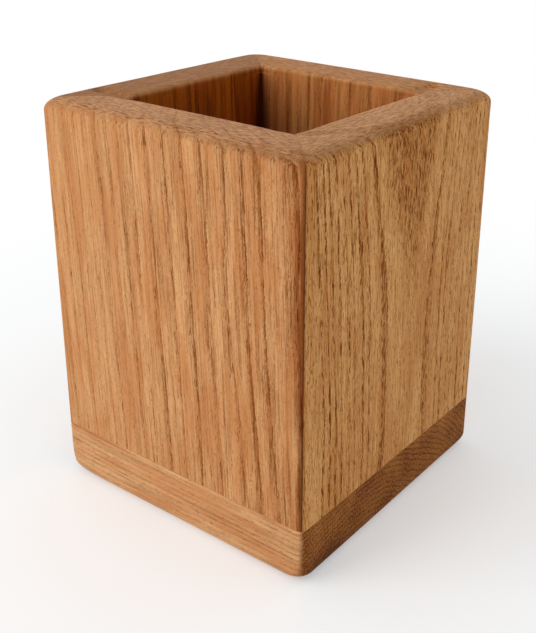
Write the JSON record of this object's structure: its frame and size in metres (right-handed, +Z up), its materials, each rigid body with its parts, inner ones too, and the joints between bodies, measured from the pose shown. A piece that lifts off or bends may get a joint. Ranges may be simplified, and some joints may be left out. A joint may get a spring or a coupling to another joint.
{
  "type": "pen holder",
  "caption": "Square wooden pen holder: mitred upright boards glued into an open tube on a flat base board, with rounded outer edges and rim.",
  "frame": {"origin": "middle of the underside, on the surface that the holder stands on", "axes": "+Z up through the open mouth, -Y out of the front board, +X out of the right board, along the base board's grain"},
  "size_m": [0.08, 0.08, 0.104],
  "materials": {
    "wall_oak": "sanded and oiled, vertical grain",
    "base_oak": "sanded and oiled, grain along X, end grain on the +X and -X faces",
    "dried_glue": "dried wood glue in a closed joint, seen as a thin dark line"
  },
  "bodies": {
    "root": {"base_board": "base_oak", "wall_front": "wall_oak", "wall_right": "wall_oak", "wall_back": "wall_oak", "wall_left": "wall_oak", "base_glue": "dried_glue", "mitre_glue_front_right": "dried_glue", "mitre_glue_back_right": "dried_glue", "mitre_glue_back_left": "dried_glue", "mitre_glue_front_left": "dried_glue"}
  },
  "joints": []
}
